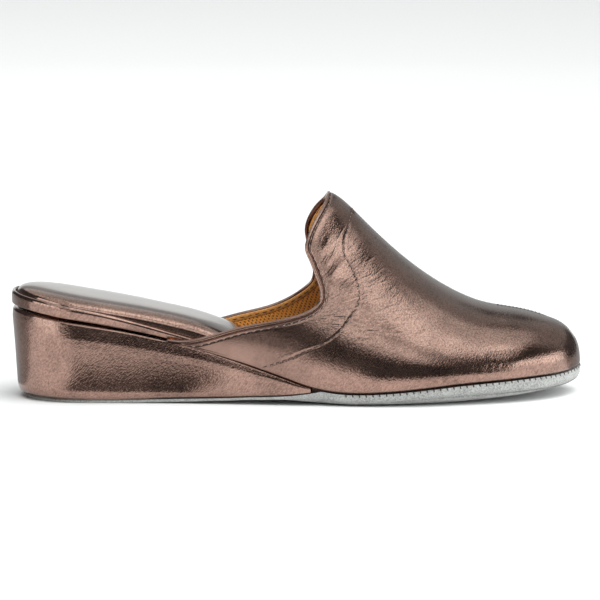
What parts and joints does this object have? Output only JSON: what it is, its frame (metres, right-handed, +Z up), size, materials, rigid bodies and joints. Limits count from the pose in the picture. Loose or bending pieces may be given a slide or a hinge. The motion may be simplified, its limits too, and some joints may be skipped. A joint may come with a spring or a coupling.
{
  "type": "mule slipper",
  "caption": "Backless leather slipper for the right foot: hollow vamp with a raised tongue, padded insole, rand around the heel seat, low covered wedge and thin dished suede sole.",
  "frame": {"origin": "on the floor, under the middle of the shoe's box", "axes": "+X from heel to toe, +Y to the medial side, +Z up"},
  "size_m": [0.25, 0.0857, 0.09],
  "materials": {
    "bronze_leather": "metallic foil over finely pebbled leather, satin",
    "grey_suede": "matt suede with a fine speckle"
  },
  "bodies": {
    "root": {"outsole": "grey_suede", "wedge_heel": "bronze_leather", "heel_rand": "bronze_leather", "insole": "bronze_leather", "upper": "bronze_leather"}
  },
  "joints": []
}
